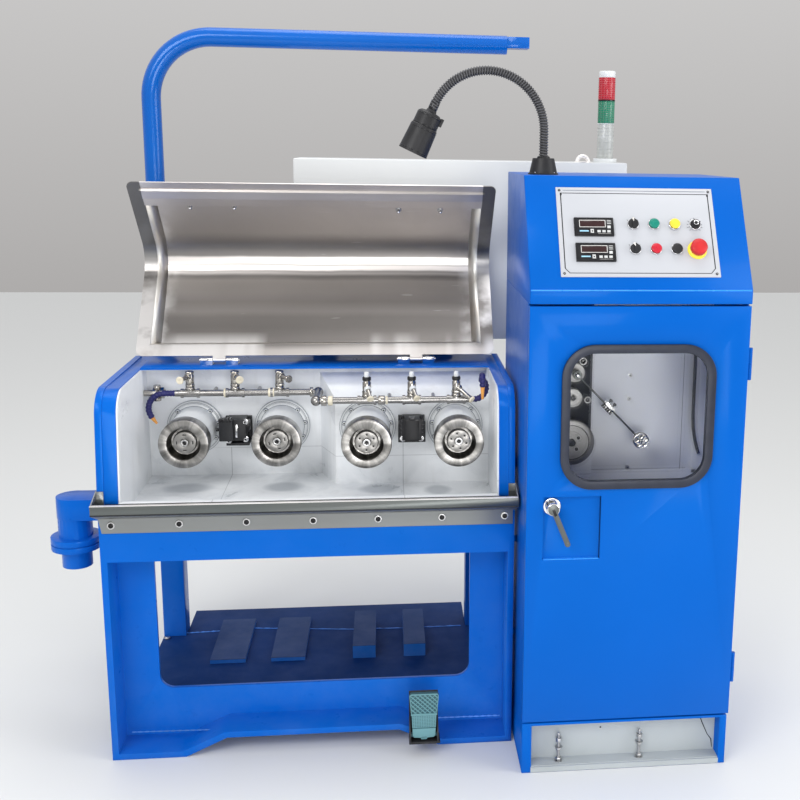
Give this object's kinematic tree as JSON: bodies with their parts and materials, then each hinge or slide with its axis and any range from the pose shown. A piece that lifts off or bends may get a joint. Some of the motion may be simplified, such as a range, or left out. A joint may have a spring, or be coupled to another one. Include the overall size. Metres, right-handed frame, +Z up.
{
  "type": "wire drawing machine",
  "caption": "Wire drawing machine with capstans in an open wet tank, a hinged stainless lid, a welded frame and a control cabinet.",
  "frame": {"origin": "centre of the machine's outer box, on the floor", "axes": "+Z up, +X to the machine's right seen from the operator, +Y to its back"},
  "size_m": [1.77, 1.024, 1.893],
  "materials": {
    "blue_paint": "gloss",
    "dark_paint": "satin",
    "white_paint": "satin",
    "stainless": "brushed",
    "steel": "satin",
    "chrome": "polished",
    "black_plastic": "matte",
    "navy_plastic": "satin",
    "orange_plastic": "satin",
    "rubber": "matte",
    "glass": "clear",
    "green_plastic": "gloss",
    "yellow_plastic": "gloss",
    "red_plastic": "gloss",
    "lens": "gloss",
    "grey_panel": "satin",
    "dark_iron": "satin",
    "teal_plastic": "satin"
  },
  "bodies": {
    "frame": {"front_frame": "blue_paint", "rear_frame": "blue_paint", "base_plate": "dark_paint", "tank_shell": "blue_paint", "tank_liner": "white_paint", "drip_lip": "stainless", "drain_elbow": "blue_paint", "gearbox_housing": "blue_paint", "capstan_housings": "white_paint", "die_holders": "black_plastic", "coolant_manifold": "chrome", "spray_valves": "chrome", "coolant_hoses": "navy_plastic", "hose_nozzles": "orange_plastic", "lid_hinges": "steel", "boom_pipe": "blue_paint", "cabinet_body": "blue_paint", "plinth_panel": "white_paint", "levelling_bolts": "steel", "control_box": "blue_paint", "control_plate": "white_paint", "meters": "black_plastic", "button_bezels": "chrome", "inner_panel": "grey_panel", "wheel_plate": "dark_iron", "lamp_neck": "black_plastic", "lamp_head": "black_plastic", "stack_light": "white_paint", "signal_lenses": "lens", "electrical_cabinet": "white_paint", "pedal_base": "black_plastic"},
    "lid": {"lid": "stainless"},
    "door": {"door": "blue_paint", "window_seal": "rubber", "window_glass": "glass"},
    "door_handle": {"door_handle": "chrome"},
    "capstan_1": {"capstan_1": "steel"},
    "capstan_2": {"capstan_2": "steel"},
    "capstan_3": {"capstan_3": "steel"},
    "capstan_4": {"capstan_4": "steel"},
    "guide_wheel_upper": {"guide_wheel_upper": "steel"},
    "guide_wheel_lower": {"guide_wheel_lower": "steel"},
    "finishing_wheel": {"finishing_wheel": "steel"},
    "dancer_arm": {"dancer_arm": "chrome"},
    "dancer_pulley": {"dancer_pulley": "steel"},
    "selector_upper": {"selector_upper": "black_plastic"},
    "selector_lower": {"selector_lower": "black_plastic"},
    "speed_knob": {"speed_knob": "black_plastic"},
    "green_button": {"green_button": "green_plastic"},
    "yellow_button": {"yellow_button": "yellow_plastic"},
    "red_button": {"red_button": "red_plastic"},
    "black_button": {"black_button": "black_plastic"},
    "emergency_stop": {"emergency_stop": "red_plastic"},
    "pedal": {"pedal": "teal_plastic"}
  },
  "joints": [
    {"name": "lid_hinge", "type": "hinge", "parent": "frame", "child": "lid", "pos_m": [-0.196, 0.027, 0.984], "axis": [1, 0, 0], "range_deg": [0, 129.5]},
    {"name": "door_hinge", "type": "hinge", "parent": "frame", "child": "door", "pos_m": [0.879, -0.466, 0.67], "axis": [0, 0, 1], "range_deg": [0, 110]},
    {"name": "handle_turn", "type": "hinge", "parent": "door", "child": "door_handle", "pos_m": [0.395, -0.488, 0.711], "axis": [0, -1, 0], "range_deg": [-22.5, 67.5]},
    {"name": "capstan_1_spin", "type": "hinge", "parent": "frame", "child": "capstan_1", "pos_m": [-0.5345, -0.123, 0.792], "axis": [0, 1, 0], "continuous": true},
    {"name": "capstan_2_spin", "type": "hinge", "parent": "frame", "child": "capstan_2", "pos_m": [-0.2955, -0.123, 0.792], "axis": [0, 1, 0], "continuous": true},
    {"name": "capstan_3_spin", "type": "hinge", "parent": "frame", "child": "capstan_3", "pos_m": [-0.0565, -0.233, 0.815], "axis": [0, 1, 0], "continuous": true},
    {"name": "capstan_4_spin", "type": "hinge", "parent": "frame", "child": "capstan_4", "pos_m": [0.1825, -0.233, 0.815], "axis": [0, 1, 0], "continuous": true},
    {"name": "upper_guide_spin", "type": "hinge", "parent": "frame", "child": "guide_wheel_upper", "pos_m": [0.488, -0.226, 0.994], "axis": [0, 1, 0], "continuous": true},
    {"name": "lower_guide_spin", "type": "hinge", "parent": "frame", "child": "guide_wheel_lower", "pos_m": [0.483, -0.226, 0.926], "axis": [0, 1, 0], "continuous": true},
    {"name": "finishing_spin", "type": "hinge", "parent": "frame", "child": "finishing_wheel", "pos_m": [0.482, -0.226, 0.805], "axis": [0, 1, 0], "continuous": true},
    {"name": "dancer_swing", "type": "hinge", "parent": "frame", "child": "dancer_arm", "pos_m": [0.488, -0.263, 0.994], "axis": [0, -1, 0], "range_deg": [0, 40]},
    {"name": "dancer_pulley_spin", "type": "hinge", "parent": "dancer_arm", "child": "dancer_pulley", "pos_m": [0.65902, -0.279, 0.81997], "axis": [0, 1, 0], "continuous": true},
    {"name": "selector_upper_turn", "type": "hinge", "parent": "frame", "child": "selector_upper", "pos_m": [0.589, -0.40093, 1.39017], "axis": [0, -0.8607, 0.5092], "range_deg": [-45, 45]},
    {"name": "selector_lower_turn", "type": "hinge", "parent": "frame", "child": "selector_lower", "pos_m": [0.589, -0.43454, 1.33337], "axis": [0, -0.8607, 0.5092], "range_deg": [-45, 45]},
    {"name": "speed_turn", "type": "hinge", "parent": "frame", "child": "speed_knob", "pos_m": [0.742, -0.40093, 1.39017], "axis": [0, -0.8607, 0.5092], "range_deg": [-135, 135]},
    {"name": "green_press", "type": "slide", "parent": "frame", "child": "green_button", "axis": [0, 0.8607, -0.5092], "range_m": [0, 0.003], "stiffness_N_per_m": 300, "springref_m": -0.002},
    {"name": "yellow_press", "type": "slide", "parent": "frame", "child": "yellow_button", "axis": [0, 0.8607, -0.5092], "range_m": [0, 0.003], "stiffness_N_per_m": 300, "springref_m": -0.002},
    {"name": "red_press", "type": "slide", "parent": "frame", "child": "red_button", "axis": [0, 0.8607, -0.5092], "range_m": [0, 0.003], "stiffness_N_per_m": 300, "springref_m": -0.002},
    {"name": "black_press", "type": "slide", "parent": "frame", "child": "black_button", "axis": [0, 0.8607, -0.5092], "range_m": [0, 0.003], "stiffness_N_per_m": 300, "springref_m": -0.002},
    {"name": "stop_press", "type": "slide", "parent": "frame", "child": "emergency_stop", "axis": [0, 0.8607, -0.5092], "range_m": [0, 0.003]},
    {"name": "pedal_press", "type": "hinge", "parent": "frame", "child": "pedal", "pos_m": [0.086, -0.375, 0.058], "axis": [-1, 0, 0], "range_deg": [0, 8], "stiffness_Nm_per_rad": 6, "springref_deg": -8.59}
  ],
  "couplings": [
    {"joint": "capstan_2_spin", "follows": "capstan_1_spin", "ratio": 1},
    {"joint": "capstan_3_spin", "follows": "capstan_1_spin", "ratio": 1},
    {"joint": "capstan_4_spin", "follows": "capstan_1_spin", "ratio": 1}
  ]
}
